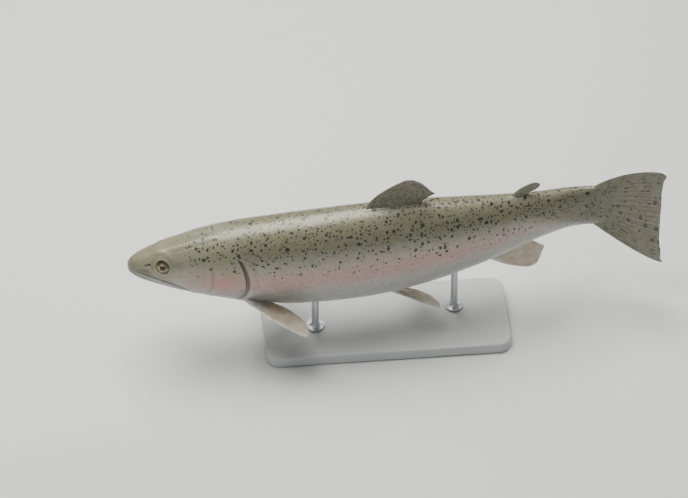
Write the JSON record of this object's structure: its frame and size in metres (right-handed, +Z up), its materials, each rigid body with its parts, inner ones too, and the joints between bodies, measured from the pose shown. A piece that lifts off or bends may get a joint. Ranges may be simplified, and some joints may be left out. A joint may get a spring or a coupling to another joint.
{
  "type": "rainbow trout model on a display stand",
  "caption": "Life-size rainbow trout, swimming with its body in a gentle bend, held over a flat plinth by short steel rods.",
  "frame": {"origin": "middle of the underside of the stand's flat base", "axes": "+Z up, +X from the fish's snout to its tail, so its left side faces -Y"},
  "size_m": [0.5902, 0.1403, 0.2246],
  "materials": {
    "back_and_flanks": "satin lacquer over painted scales",
    "head_skin": "satin lacquer over painted skin",
    "gill_cover_skin": "satin, rosy with a faint metal sheen",
    "jaw_skin": "satin, pale",
    "upper_fins": "matt, ribbed, dark spots",
    "lower_fins": "matt, ribbed, dusky red",
    "eye_glass": "polished",
    "stand_plinth": "smooth satin paint",
    "stand_steel": "brushed"
  },
  "bodies": {
    "root": {"head": "head_skin", "lower_jaw": "jaw_skin", "upper_lip_left": "head_skin", "upper_lip_right": "head_skin", "gill_cover_left": "gill_cover_skin", "gill_cover_right": "gill_cover_skin", "eye_left": "eye_glass", "eye_right": "eye_glass", "trunk_front": "back_and_flanks", "trunk_rear": "back_and_flanks", "tail_stalk": "back_and_flanks", "tail_fin": "upper_fins", "dorsal_fin": "upper_fins", "adipose_fin": "upper_fins", "anal_fin": "lower_fins", "pectoral_fin_left": "lower_fins", "pectoral_fin_right": "lower_fins", "pelvic_fin_left": "lower_fins", "pelvic_fin_right": "lower_fins", "stand_base": "stand_plinth", "stand_rod_front": "stand_steel", "stand_rod_rear": "stand_steel"}
  },
  "joints": []
}
